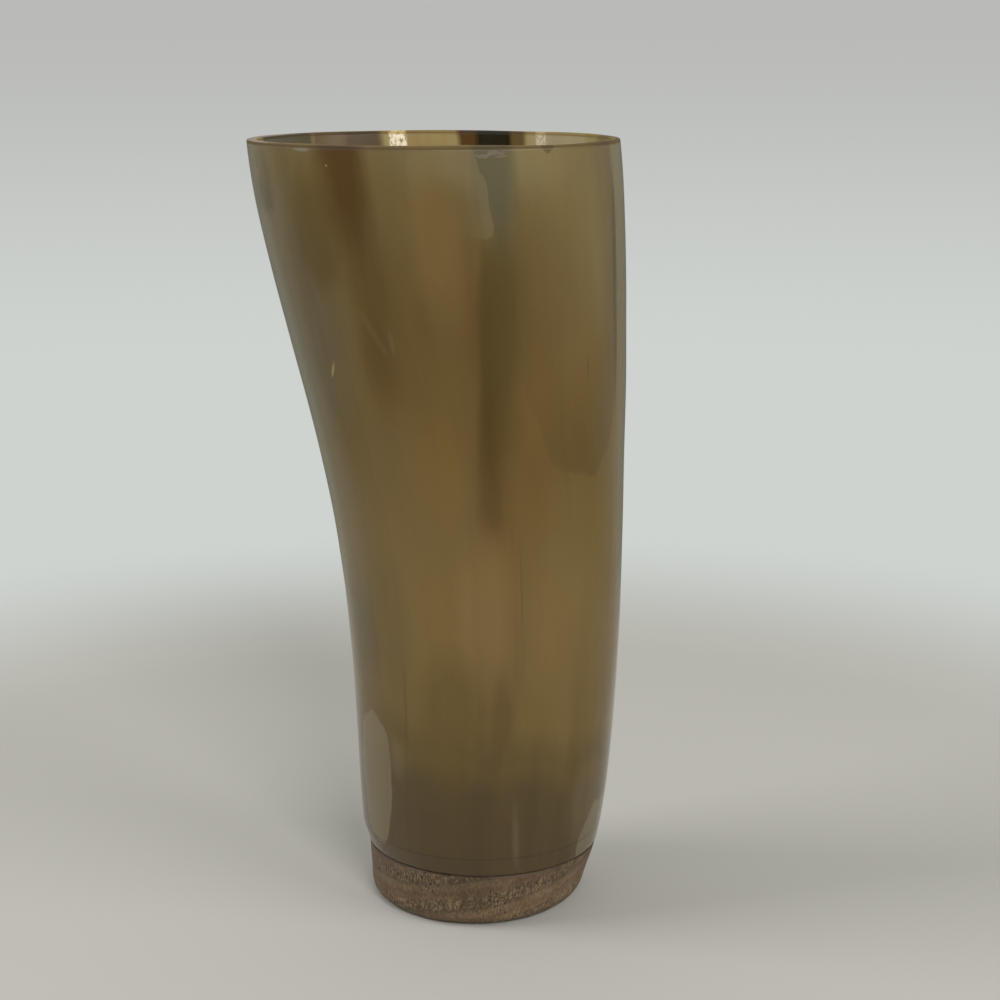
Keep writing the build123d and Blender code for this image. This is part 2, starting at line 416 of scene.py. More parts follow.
@dataclass(frozen=True)
class HornFinish:
    """Polished, translucent horn: soft streaks deep in it, and a clear gloss on top.

    The bore is painted paler than the outside, as the light that shines through its thin wall, less so deeper
    down, and it is less polished;
    the lip and the seam's edge are sanded and darker, the lip's top has a painted highlight at its leaning
    end, and a fine line of painted shade runs round the crease at the top of the band above the wood. The
    levels hold painted shade at the bottom, and some patches are painted highlights and reflections.
    """

    attribute: str = "around"
    bore_attribute: str = "bore"
    melting: Drift = Drift(Grain((3.0, 3.0, 5.0), 3.0), (0.22, 0.22, 0.07))
    ragged: Drift = Drift(Grain((7.0, 7.0, 13.0), 3.0), (0.12, 0.12, 0.035))
    inward_start: float = 0.3
    dark_clouds: Tint = Tint(Grain((3.2, 3.2, 2.0), 3.0), 0.48, 0.70, 0.6, (0.78, 0.70, 0.60))
    light_clouds: Tint = Tint(Grain((3.2, 3.2, 2.0), 3.0), 0.52, 0.30, 0.6, (1.14, 1.10, 1.00))
    veils: Tint = Tint(Grain((11.0, 11.0, 1.0)), 0.42, 0.68, 0.15, (0.72, 0.64, 0.52))
    fibres: Tint = Tint(Grain((30.0, 30.0, 1.2), 3.0, 0.55), 0.45, 0.72, 0.07, (0.70, 0.62, 0.50))
    # painted light: the bore is painted paler, as the light that shines through the thin wall; full at the
    # rim, weaker deeper down as shade
    bore_glow_gain: Tone = (2.1, 2.25, 2.35)
    bore_glow_shares: Pair = (0.2, 1.0)
    bore_glow_strengths: Pair = (0.25, 1.0)
    band_share: float = 0.0272
    band_crease_shade: Pair = (0.0008, 0.0028)
    band_crease_shade_strength: float = 0.35
    band_crease_shade_gain: Tone = (0.45, 0.40, 0.35)
    lip_shares: Pair = (0.9932, 0.9972)
    lip_gain: Tone = (0.49, 0.42, 0.22)
    lip_top_highlight_leans: Pair = (0.80, 0.92)
    lip_top_highlight_strength: float = 0.6
    lip_top_highlight_shares: Pair = (0.9984, 0.9996)
    satin_shares: Pair = (0.9940, 0.9960)
    seam_shares: Pair = (0.0017, 0.0008)
    seam_gain: Tone = (0.80, 0.64, 0.40)
    roughness: float = 0.07
    satin_roughness: float = 0.85
    bore_satin: float = 0.12
    smears: Grain = Grain((3.0, 3.0, 7.0), 3.0, 0.6)
    smear_range: Pair = (0.45, 0.75)
    smear_roughness: float = 0.06
    polish_lines: Grain = Grain((90.0, 90.0, 2.0))
    polish_strength: float = 0.04
    polish_depth: float = 0.03 * MM
    ripples: Grain = Grain((60.0, 60.0, 160.0), 2.0, 0.6)
    ripple_range: Pair = (0.32, 0.52)
    scrape_strength: float = 0.6
    scrape_depth: float = 0.1 * MM
    # painted highlight: where the pale sparkle inside the rim is painted; the same ripples also bump the
    # surface
    sparkles_and_scrapes: tuple[Patch, ...] = (
        Patch(HornTone.PAINTED_SPARKLE, 1.00, -165.2, 1.00, 3.6, 3.6, 0.05, 0.05, core=0.7, power=4,
              edge=Edge.STRAIGHT),
        Patch(HornTone.PAINTED_SPARKLE, 0.45, 142.0, 1.00, 2.5, 2.5, 0.05, 0.05, core=0.7, power=4,
              edge=Edge.STRAIGHT),
    )
    scatter_weight: float = 0.25
    scatter_depth: float = 1.6 * MM
    scatter_tones: Tone = (1.0, 0.55, 0.2)
    refraction: float = 1.54
    level_tilt: float = 0.035
    # painted shade and light: darkest at the bottom, as shade where the tenon behind the wall stops the light
    # that shines through it, and paler near the rim, where light shines through the thin wall
    levels: tuple[tuple[float, Tone], ...] = (
        (0.00, (0.063, 0.038, 0.0105)),
        (0.06, (0.062, 0.038, 0.0090)),
        (0.12, (0.068, 0.042, 0.0082)),
        (0.17, (0.097, 0.061, 0.0122)),
        (0.24, (0.133, 0.085, 0.0170)),
        (0.42, (0.152, 0.097, 0.0240)),
        (0.62, (0.140, 0.089, 0.0240)),
        (0.80, (0.138, 0.088, 0.0260)),
        (0.94, (0.152, 0.106, 0.0370)),
        (1.00, (0.158, 0.118, 0.0510)),
    )
    patches: tuple[Patch, ...] = (
        Patch(HornTone.AMBER, 0.72, -1, 0.90, 11, 12, 0.12, 0.17, core=0.2),
        Patch(HornTone.OLIVE, 0.60, 42, 0.90, 22, 26, 0.30, 0.25, core=0.3),
        Patch(HornTone.TAN, 0.55, 22, 1.00, 30, 32, 0.10, 0.08, core=0.3),
        Patch(HornTone.TAN, 0.40, 0, 1.00, 11, 13, 0.10, 0.08, core=0.3),
        Patch(HornTone.MILKY, 0.24, -42, 0.75, 13, 15, 0.13, 0.13, core=0.3),
        Patch(HornTone.BROWN, 0.50, 30, 0.82, 18, 24, 0.16, 0.18, core=0.3),
        Patch(HornTone.BROWN, 0.35, 30, 0.54, 20, 24, 0.20, 0.20, core=0.3),
        Patch(HornTone.BROWN, 0.35, -42, 0.36, 20, 20, 0.16, 0.20, core=0.3),
        Patch(HornTone.UMBER, 0.55, -63, 0.31, 22, 22, 0.16, 0.12, core=0.2),
        Patch(HornTone.OLIVE, 0.30, -42, 0.16, 8, 10, 0.04, 0.04, core=0.2),
        Patch(HornTone.HONEY, 0.60, -12, 0.57, 17, 15, 0.12, 0.12, core=0.3),
        Patch(HornTone.HONEY, 0.60, -15, 0.36, 22, 18, 0.16, 0.20, core=0.3),
        Patch(HornTone.GOLD, 0.60, 2, 0.39, 18, 17, 0.15, 0.14, core=0.2),
        Patch(HornTone.OLIVE, 0.25, 38, 0.47, 22, 22, 0.16, 0.14, core=0.3),
        Patch(HornTone.MIST, 0.30, -60, 0.52, 18, 18, 0.38, 0.36, core=0.3),
        Patch(HornTone.MIST, 0.34, -56, 0.80, 30, 30, 0.25, 0.24, core=0.4),
        Patch(HornTone.BROWN, 0.55, -41, 0.89, 9.5, 15, 0.10, 0.09, core=0.5),
        Patch(HornTone.RED_BROWN, 0.80, -26.5, 0.97, 12, 11, 0.20, 0.15, core=0.3),
        Patch(HornTone.UMBER, 0.30, -22, 0.84, 11, 10, 0.12, 0.16, core=0.2),
        Patch(HornTone.RED_BROWN, 0.30, -24, 0.72, 8, 8, 0.10, 0.10, core=0.2),
        Patch(HornTone.SLATE, 0.85, 17.5, 0.99, 8, 9, 0.10, 0.16, core=0.4),
        Patch(HornTone.UMBER, 0.45, 15, 0.77, 9, 13, 0.17, 0.28, core=0.2, lean=24),
        Patch(HornTone.UMBER, 0.55, 14.5, 0.77, 8, 10, 0.18, 0.26, core=0.5, lean=20, fades=(Fade.RIGHT,)),
        Patch(HornTone.RED_BROWN, 0.55, 8, 0.53, 9, 8, 0.11, 0.08, core=0.2),
        Patch(HornTone.RED_BROWN, 0.26, 10, 0.62, 9, 9, 0.12, 0.10, core=0.2),
        Patch(HornTone.CHESTNUT, 0.70, -14, 0.24, 21, 18, 0.11, 0.14, core=0.3),
        Patch(HornTone.RED_BROWN, 0.35, 8, 0.235, 6.5, 6.5, 0.10, 0.10, core=0.3),
        Patch(HornTone.OLIVE, 0.25, 54, 0.09, 18, 22, 0.08, 0.10, core=0.3),
        # painted reflection edge: the dark outline of the tongue where the reflection on the right flank ends
        Patch(HornTone.BROWN, 0.80, 47, 0.80, 26, 20, 0.50, 0.24, core=0.97, power=2.6, edge=Edge.RAGGED,
              fades=(Fade.INWARD, Fade.LEFT)),
        Patch(HornTone.BROWN, 0.50, 47, 0.80, 26, 20, 0.50, 0.24, core=0.97, power=2.6, edge=Edge.RAGGED,
              fades=(Fade.INWARD, Fade.UP)),
        # painted reflection: the pale leaf on the front near the rim
        Patch(HornTone.LAYER, 0.55, 11.5, 0.94, 8, 4.8, 0.07, 0.055, core=0.94, lean=-35, power=4,
              edge=Edge.RAGGED, fades=(Fade.LEFT,)),
        # painted reflections: pale patches low on the left and low on the right
        Patch(HornTone.LAYER, 0.60, -57, 0.12, 14, 13, 0.10, 0.10, core=0.93, power=2.4, edge=Edge.RAGGED),
        Patch(HornTone.LAYER, 0.50, 68, 0.015, 16, 20, 0.07, 0.04, core=0.9, edge=Edge.RAGGED),
        Patch(HornTone.BROWN, 0.45, -66, 0.95, 14, 13, 0.06, 0.05, core=0.5, edge=Edge.RAGGED),
        Patch(HornTone.UMBER, 0.45, -65, 0.93, 9, 10, 0.035, 0.035, core=0.3, edge=Edge.RAGGED),
        Patch(HornTone.MILKY, 0.20, -19.5, 0.752, 1.2, 1.2, 0.024, 0.024, core=0.3, edge=Edge.STRAIGHT),
        Patch(HornTone.MILKY, 0.14, -25, 0.762, 2.0, 2.0, 0.045, 0.040, core=0.3,
              lean=-110, edge=Edge.STRAIGHT),
        Patch(HornTone.UMBER, 0.30, 16, 0.41, 0.5, 0.6, 0.10, 0.08, core=0.3, lean=4, edge=Edge.STRAIGHT),
        Patch(HornTone.RED_BROWN, 0.40, -35, 0.24, 0.9, 1.3, 0.09, 0.10, core=0.2,
              lean=8, edge=Edge.STRAIGHT),
        Patch(HornTone.UMBER, 0.45, 48, 0.71, 0.5, 0.5, 0.025, 0.025, core=0.3, edge=Edge.STRAIGHT),
        # painted reflection edge: the thin dark line along which the reflection on the right edge begins
        Patch(HornTone.UMBER, 0.85, 67, 0.84, 3.0, 1.2, 0.16, 0.24, core=0.5, lean=4, edge=Edge.STRAIGHT),
        Patch(HornTone.STRAW, 0.55, -45.8, 0.707, 0.8, 1.0, 0.016, 0.014, core=0.3,
              lean=130, edge=Edge.STRAIGHT),
        # painted highlight: a faint pale vertical streak low on the front
        Patch(HornTone.MILKY, 0.22, 15.5, 0.05, 2.6, 2.6, 0.09, 0.06, lean=-30, edge=Edge.STRAIGHT),
        # painted highlights: glints on the sanded scuffs of the front lip, and on the lip at the left
        Patch(HornTone.PAINTED_HIGHLIGHT, 0.32, 18, 0.992, 5.0, 4.5, 0.003, 0.003, core=0.6, edge=Edge.RAGGED),
        Patch(HornTone.PAINTED_HIGHLIGHT, 0.25, 21, 0.987, 2.5, 2.0, 0.003, 0.002, core=0.5,
              lean=250, edge=Edge.STRAIGHT),
        Patch(HornTone.PAINTED_HIGHLIGHT, 0.70, -39.5, 0.9945, 4.5, 4.0, 0.002, 0.004, core=0.5, edge=Edge.STRAIGHT),
        Patch(HornTone.STRAW, 0.50, -31, 0.975, 0.5, 0.5, 0.0022, 0.0022, core=0.3, edge=Edge.STRAIGHT),
        Patch(HornTone.UMBER, 0.55, 36.3, 0.9975, 2.4, 3.0, 0.010, 0.010, core=0.8,
              power=1.1, edge=Edge.STRAIGHT),
        Patch(HornTone.UMBER, 0.60, -100, 0.45, 14, 11, 0.50, 0.40),
        Patch(HornTone.RED_BROWN, 0.60, 104, 0.55, 12, 14, 0.50, 0.45),
        Patch(HornTone.AMBER, 0.60, 128, 0.55, 14, 12, 0.40, 0.40),
        Patch(HornTone.GOLD, 0.60, -128, 0.50, 16, 13, 0.35, 0.35),
    )
    deep_patches: tuple[Patch, ...] = (
        # partly painted light: IVORY on the far wall holds both its tone and the light that shines through
        # the wall
        Patch(HornTone.IVORY, 0.85, 131, 0.90, 17, 16, 0.30, 0.50, core=0.6),
        Patch(HornTone.DUSK, 0.45, 105, 0.90, 9, 9, 0.30, 0.60, core=0.4),
        Patch(HornTone.DUSK, 0.95, -114, 0.90, 19, 19, 0.40, 0.70, core=0.8),
        Patch(HornTone.BUFF, 0.95, -137, 0.90, 12, 8, 0.40, 0.60, core=0.6),
        Patch(HornTone.DRAB, 0.95, -151.5, 0.90, 9, 9, 0.40, 0.65, core=0.6),
        Patch(HornTone.RED_BROWN, 0.95, 170.5, 0.90, 5, 3.2, 0.40, 0.60, core=0.5),
        Patch(HornTone.BROWN, 0.97, 151.5, 0.85, 6, 6, 0.40, 0.70, core=0.6),
        Patch(HornTone.SOOT, 0.97, 161.5, 0.90, 9, 8, 0.40, 0.75, core=0.72),
    )

    def mask(self, bench: NodeBench, around: Socket, share: Socket, patch: Patch) -> Socket:
        """Where a patch shows.

        Args:
            bench: The material's nodes.
            around: The direction from the horn's axis.
            share: The height share.
            patch: The patch.

        Returns:
            The mask, 0 to 1.
        """
        angle = math.radians(patch.angle)
        ahead = bench.vector("DOT_PRODUCT", around, (math.sin(angle), -math.cos(angle), 0.0))
        aside = bench.vector("DOT_PRODUCT", around, (math.cos(angle), math.sin(angle), 0.0))
        turn = bench.math("ARCTAN2", aside, ahead)
        rise = bench.math("SUBTRACT", share, patch.level)
        if patch.lean:
            turn = bench.math("MULTIPLY_ADD", rise, -math.radians(patch.lean), turn)
        across = bench.math("MAXIMUM", bench.math("DIVIDE", turn, math.radians(patch.right)),
                            bench.math("DIVIDE", turn, -math.radians(patch.left)))
        along = bench.math("MAXIMUM", bench.math("DIVIDE", rise, patch.up),
                           bench.math("DIVIDE", rise, -patch.down))
        both = bench.math("ADD", bench.math("POWER", across, patch.power),
                          bench.math("POWER", along, patch.power))
        reach = bench.math("POWER", both, 1.0 / patch.power)
        mask = bench.span(reach, patch.core, 1.0, patch.strength, 0.0)
        left, right = -math.radians(patch.left), math.radians(patch.right)
        ways = {
            Fade.LEFT: (turn, left, right),
            Fade.RIGHT: (turn, right, left),
            Fade.INWARD: (reach, self.inward_start, 1.0),
            Fade.UP: (rise, 0.0, -patch.down),
        }
        for fade in patch.fades:
            mask = bench.math("MULTIPLY", mask, bench.span(*ways[fade]))
        return mask

    def painted(self, bench: NodeBench, colour: Socket, drifts: dict[Edge, Socket],
                patches: Iterable[Patch]) -> Socket:
        """Lays patches over a colour, one after the other.

        Args:
            bench: The material's nodes.
            colour: The colour below them.
            drifts: The coordinates for each kind of edge.
            patches: The patches.

        Returns:
            The colour with the patches.
        """
        shares = {edge: bench.part(drift, "Z") for edge, drift in drifts.items()}
        for patch in patches:
            mask = self.mask(bench, drifts[patch.edge], shares[patch.edge], patch)
            colour = bench.mix(mask, colour, patch.tone.value)
        return colour

    def wander(self, bench: NodeBench, around: Socket, drift: Drift) -> Socket:
        """Coordinates that drift to and fro.

        Args:
            bench: The material's nodes.
            around: The direction from the horn's axis and the height share.
            drift: How they drift.

        Returns:
            The drifting coordinates.
        """
        centred = bench.vector("SUBTRACT", bench.grain(around, drift.grain).outputs["Color"], (0.5, 0.5, 0.5))
        return bench.vector("ADD", around, bench.vector("MULTIPLY", centred, drift.reach))

    def painted_sparkle_and_scrapes(self, bench: NodeBench, around: Socket, inside: Socket) -> Socket:
        """Where the bore, just below the rim, has a scraper's ripples, which bump the surface and carry a
        painted sparkle: highlights painted pale into the colour.

        Args:
            bench: The material's nodes.
            around: The direction from the horn's axis and the height share.
            inside: 1 in the bore and 0 outside.

        Returns:
            The mask, 0 to 1.
        """
        share = bench.part(around, "Z")
        ripples = bench.span(bench.grain(around, self.ripples).outputs["Fac"], *self.ripple_range)
        sparkle_and_scrape_marks: Value = 0.0
        for scrape in self.sparkles_and_scrapes:
            sparkle_and_scrape_marks = bench.math("MAXIMUM", sparkle_and_scrape_marks, self.mask(bench, around, share, scrape))
        return bench.math("MULTIPLY", bench.math("MULTIPLY", inside, ripples), sparkle_and_scrape_marks)

    def pigment(self, bench: NodeBench, drifts: dict[Edge, Socket], inside: Socket) -> Socket:
        """The colour in the horn's depth: its levels, with painted shade and light, its clouds and patches,
        some of them painted highlights and reflections, and the bore painted paler as the light through its
        wall.

        Args:
            bench: The material's nodes.
            drifts: The coordinates for each kind of edge.
            inside: 1 in the bore and 0 outside.

        Returns:
            The colour.
        """
        around = drifts[Edge.STRAIGHT]
        share = bench.part(drifts[Edge.MELTING], "Z")
        tilted = bench.math("MULTIPLY_ADD", bench.part(around, "X"), self.level_tilt, share)
        colour = bench.ramp(tilted, self.levels)
        colour = bench.tint(colour, around, self.dark_clouds)
        colour = bench.tint(colour, around, self.light_clouds)
        colour = self.painted(bench, colour, drifts, self.patches)
        # painted light: the bore painted paler, most at the rim
        pale = bench.math("MULTIPLY", inside, bench.span(share, *self.bore_glow_shares, *self.bore_glow_strengths))
        colour = bench.mix(pale, colour, self.bore_glow_gain, "MULTIPLY")
        return self.painted(bench, colour, drifts, self.deep_patches)

    def edged(self, bench: NodeBench, colour: Socket, around: Socket, seam: Socket) -> Socket:
        """Adds the painted shade along the crease above the band, the dark lip with a painted highlight on
        its top's leaning end, and the seam's edge.

        Args:
            bench: The material's nodes.
            colour: The colour without them.
            around: The direction from the horn's axis and the height share.
            seam: 1 on the seam's edge and 0 elsewhere.

        Returns:
            The colour with them.
        """
        share = bench.part(around, "Z")
        # painted shade: a thin dark line along the crease at the top of the band
        from_line = bench.math("ABSOLUTE", bench.math("SUBTRACT", share, self.band_share))
        line = bench.span(from_line, *self.band_crease_shade, self.band_crease_shade_strength, 0.0)
        colour = bench.mix(line, colour, self.band_crease_shade_gain, "MULTIPLY")
        colour = bench.mix(bench.span(share, *self.lip_shares), colour, self.lip_gain, "MULTIPLY")
        colour = bench.mix(seam, colour, self.seam_gain, "MULTIPLY")
        # painted highlight: the top of the lip is painted pale at its leaning (left) end
        lean = bench.math("MULTIPLY", bench.part(around, "X"), -1.0)
        pale = bench.math("MULTIPLY", bench.span(share, *self.lip_top_highlight_shares),
                          bench.span(lean, *self.lip_top_highlight_leans, 0.0, self.lip_top_highlight_strength))
        return bench.mix(pale, colour, HornTone.PAINTED_HIGHLIGHT.value)

    def worn(self, bench: NodeBench, around: Socket, inside: Socket, seam: Socket) -> Socket:
        """The roughness: polished outside with a few smears, and satin in the bore and on the edges.

        Args:
            bench: The material's nodes.
            around: The direction from the horn's axis and the height share.
            inside: 1 in the bore and 0 outside.
            seam: 1 on the seam's edge and 0 elsewhere.

        Returns:
            The roughness.
        """
        smears = bench.grain(around, self.smears).outputs["Fac"]
        smeared = bench.span(smears, *self.smear_range, 0.0, self.smear_roughness)
        polished = bench.math("ADD", self.roughness, smeared)
        sanded = bench.math("MAXIMUM", bench.span(bench.part(around, "Z"), *self.satin_shares), seam)
        satin = bench.math("MAXIMUM", bench.math("MULTIPLY", inside, self.bore_satin), sanded)
        return bench.math("MULTIPLY_ADD", satin, self.satin_roughness, polished)

    def build(self) -> bpy.types.Material:
        """Makes the material.

        Returns:
            The horn's material.
        """
        bench, material = NodeBench.for_material("polished_horn")
        around = bench.attribute(self.attribute)
        inside = bench.amount(self.bore_attribute)
        drifts = {
            Edge.MELTING: self.wander(bench, around, self.melting),
            Edge.RAGGED: self.wander(bench, around, self.ragged),
            Edge.STRAIGHT: around,
        }
        seam = bench.span(bench.part(around, "Z"), *self.seam_shares)
        sparkle_and_scrape_marks = self.painted_sparkle_and_scrapes(bench, around, inside)
        # painted highlight: the pale sparkle inside the rim, laid over the colour
        colour = bench.mix(sparkle_and_scrape_marks, self.pigment(bench, drifts, inside), HornTone.PAINTED_SPARKLE.value)
        colour = bench.tint(colour, drifts[Edge.MELTING], self.veils)
        colour = bench.tint(colour, around, self.fibres)
        polish_lines = bench.grain(around, self.polish_lines).outputs["Fac"]
        polished = bench.bump(polish_lines, self.polish_strength, self.polish_depth)
        bench.surface({
            "Base Color": self.edged(bench, colour, around, seam),
            "Roughness": self.worn(bench, around, inside, seam),
            "IOR": self.refraction,
            "Normal": bench.bump(sparkle_and_scrape_marks, self.scrape_strength, self.scrape_depth, polished),
            "Subsurface Weight": self.scatter_weight,
            "Subsurface Radius": self.scatter_tones,
            "Subsurface Scale": self.scatter_depth,
        })
        return material


@dataclass(frozen=True)
class WoodFinish:
    """Sanded, open-pored hardwood: in each slanting growth band a porous part, then a smooth part."""

    roughness: float = 0.6
    roughness_spread: float = 0.08
    specular: float = 0.35
    band_way: Triple = (-0.22, -0.06, 1.0)
    band_start: float = 5.5 * MM
    band_width: float = 6.4 * MM
    band_drift: float = 1.6 * MM
    drift_fineness: float = 120.0
    fade_levels: Pair = (1.0 * MM, 9.0 * MM)
    fade_gains: Pair = (1.28, 0.92)
    bands: tuple[tuple[float, Tone], ...] = (
        (0.00, (0.083, 0.058, 0.033)),
        (0.20, (0.094, 0.066, 0.036)),
        (0.42, (0.096, 0.067, 0.036)),
        (0.52, (0.112, 0.071, 0.037)),
        (0.62, (0.102, 0.063, 0.034)),
        (0.80, (0.123, 0.080, 0.044)),
        (0.92, (0.108, 0.077, 0.040)),
        (1.00, (0.083, 0.058, 0.033)),
    )
    blotch_fineness: float = 240.0
    blotch_layers: Pair = (3.0, 0.6)
    blotch_range: Pair = (0.35, 0.68)
    blotch_gains: tuple[Tone, Tone] = ((0.86, 0.84, 0.82), (1.13, 1.11, 1.10))
    porous_start: Pair = (0.0, 0.06)
    porous_end: Pair = (0.36, 0.52)
    vessel_turn: Triple = VESSEL_TURN
    grain: Grain = Grain((2700.0, 2700.0, 900.0), 1.5, 0.55)
    grain_range: Pair = (0.3, 0.7)
    grain_contrast: Pair = (0.35, 0.95)
    grain_height: float = 0.35
    pale_grain: Pair = (0.50, 0.62)
    pale_gain: Tone = (1.85, 1.85, 1.90)
    dark_grain: Pair = (0.50, 0.38)
    dark_gain: Tone = (0.64, 0.59, 0.47)
    pore_fineness: Triple = (1900.0, 1900.0, 900.0)
    pore_tone: Tone = (0.018, 0.012, 0.008)
    pore_strength: float = 0.85
    pore_edge: Pair = (0.28, 0.48)
    pore_share: float = 0.22
    stray_share: float = 0.01
    cluster_fineness: float = PORE_CLUSTERS
    cluster_range: Pair = (0.48, 0.60)
    cluster_shares: Pair = (0.10, 1.0)
    pore_spots: tuple[Triple, ...] = (
        (-9.0 * MM, -20.4 * MM, 8.8 * MM),
        (3.4 * MM, -21.4 * MM, 5.6 * MM),
    )
    spot_reach: float = 3.4 * MM
    spot_core: float = 0.3
    spot_share: float = 0.6
    dust_gain: Tone = (1.6, 1.55, 1.5)
    dust_edge: Pair = (0.46, 0.64)
    dust_strength: float = 0.6
    seam_level: float = FOOT_HEIGHT
    # partly painted shade: a dark strip just under the seam, a stain at the joint and shade painted over the
    # top bevel that catches the light
    stain_and_shade_depths: Pair = (0.35 * MM, 0.10 * MM)
    stain_and_shade_range: Pair = (0.30, 0.55)
    stain_and_shade_strengths: Pair = (0.5, 1.0)
    stain_and_shade_gain: Tone = (0.42, 0.36, 0.26)
    bump_strength: float = 0.7
    bump_depth: float = 0.12 * MM

    def across_bands(self, bench: NodeBench, place: Socket) -> Socket:
        """How far a place is across the growth bands.

        Args:
            bench: The material's nodes.
            place: Object coordinates.

        Returns:
            A distance in metres that wanders a little.
        """
        drift = bench.math("SUBTRACT", bench.noise(place, self.drift_fineness).outputs["Fac"], 0.5)
        return bench.math("MULTIPLY_ADD", drift, self.band_drift,
                          bench.vector("DOT_PRODUCT", place, self.band_way))

    def pores(self, bench: NodeBench, place: Socket, along: Socket, porous: Socket) -> tuple[Socket, Socket]:
        """Where the open pores are: in the bands' porous parts, in two spots, and a few elsewhere.

        Args:
            bench: The material's nodes.
            place: Object coordinates.
            along: Object coordinates, turned along the vessels.
            porous: 1 in the bands' porous parts and 0 in the smooth ones.

        Returns:
            The pores, and the pale dust round them.
        """
        stretched = bench.vector("MULTIPLY", along, self.pore_fineness)
        cells = bench.add("ShaderNodeTexVoronoi", {"Vector": stretched, "Scale": 1.0, "Randomness": 1.0})
        clusters = bench.noise(place, self.cluster_fineness).outputs["Fac"]
        crowd = bench.span(clusters, *self.cluster_range, *self.cluster_shares)
        crowded = bench.math("MULTIPLY", porous, crowd)
        share = bench.math("MULTIPLY_ADD", crowded, self.pore_share, self.stray_share)
        for spot in self.pore_spots:
            away = bench.vector("DISTANCE", place, spot)
            near = bench.span(away, self.spot_core * self.spot_reach, self.spot_reach, self.spot_share, 0.0)
            share = bench.math("MAXIMUM", share, near)
        kept = bench.math("LESS_THAN", bench.part(cells.outputs["Color"], "X"), share)
        middle = bench.span(cells.outputs["Distance"], *self.pore_edge, 1.0, 0.0)
        border = bench.span(cells.outputs["Distance"], *self.dust_edge, self.dust_strength, 0.0)
        return bench.math("MULTIPLY", kept, middle), bench.math("MULTIPLY", kept, border)

    def build(self) -> bpy.types.Material:
        """Makes the material.

        Returns:
            The wood's material.
        """
        bench, material = NodeBench.for_material("open_pored_wood")
        place = bench.place()
        across = self.across_bands(bench, place)
        start = bench.math("SUBTRACT", across, self.band_start)
        band = bench.math("FRACT", bench.math("DIVIDE", start, self.band_width))
        fade = bench.span(across, *self.fade_levels, *self.fade_gains)
        tone = bench.vector("SCALE", bench.ramp(band, self.bands), fade)
        blotch = bench.noise(place, self.blotch_fineness, *self.blotch_layers).outputs["Fac"]
        darker, paler = (bench.mix(1.0, tone, gain, "MULTIPLY") for gain in self.blotch_gains)
        tone = bench.mix(bench.span(blotch, *self.blotch_range), darker, paler)

        porous = bench.math("MULTIPLY", bench.span(band, *self.porous_end, 1.0, 0.0),
                            bench.span(band, *self.porous_start))
        along = bench.add("ShaderNodeVectorRotate", {"Vector": place, "Rotation": self.vessel_turn},
                          rotation_type="EULER_XYZ").outputs["Vector"]
        grain = bench.grain(along, self.grain).outputs["Fac"]
        contrast = bench.span(porous, 0.0, 1.0, *self.grain_contrast)
        pale = bench.math("MULTIPLY", contrast, bench.span(grain, *self.pale_grain))
        dark = bench.math("MULTIPLY", contrast, bench.span(grain, *self.dark_grain))
        tone = bench.mix(pale, tone, self.pale_gain, "MULTIPLY")
        tone = bench.mix(dark, tone, self.dark_gain, "MULTIPLY")

        pore, dust = self.pores(bench, place, along, porous)
        tone = bench.mix(dust, tone, self.dust_gain, "MULTIPLY")
        tone = bench.mix(bench.math("MULTIPLY", pore, self.pore_strength), tone, self.pore_tone)
        # partly painted shade: the stain at the joint, also painting shade over the lit top bevel
        low, high = (self.seam_level - depth for depth in self.stain_and_shade_depths)
        stained_and_shaded = bench.math("MULTIPLY", bench.span(bench.part(place, "Z"), low, high),
                             bench.span(blotch, *self.stain_and_shade_range, *self.stain_and_shade_strengths))
        tone = bench.mix(stained_and_shaded, tone, self.stain_and_shade_gain, "MULTIPLY")

        height = bench.math("SUBTRACT", bench.math("MULTIPLY", grain, self.grain_height), pore)
        bench.surface({
            "Base Color": tone,
            "Roughness": bench.span(grain, *self.grain_range, self.roughness - self.roughness_spread,
                                    self.roughness + self.roughness_spread),
            "Specular IOR Level": self.specular,
            "Normal": bench.bump(height, self.bump_strength, self.bump_depth),
        })
        return material


@dataclass(frozen=True)
class GlueFinish:
    """Dark cured glue, dull where it was wiped."""

    tones: tuple[Tone, Tone] = ((0.034, 0.020, 0.008), (0.060, 0.038, 0.016))
    clump_fineness: float = 900.0
    clump_range: Pair = (0.3, 0.7)
    roughness: Pair = (0.6, 0.85)
    specular: float = 0.15

    def build(self) -> bpy.types.Material:
        """Makes the material.

        Returns:
            The glue's material.
        """
        bench, material = NodeBench.for_material("cured_glue")
        clumps = bench.noise(bench.place(), self.clump_fineness).outputs["Fac"]
        bench.surface({
            "Base Color": bench.mix(clumps, *self.tones),
            "Roughness": bench.span(clumps, *self.clump_range, *self.roughness),
            "Specular IOR Level": self.specular,
        })
        return material


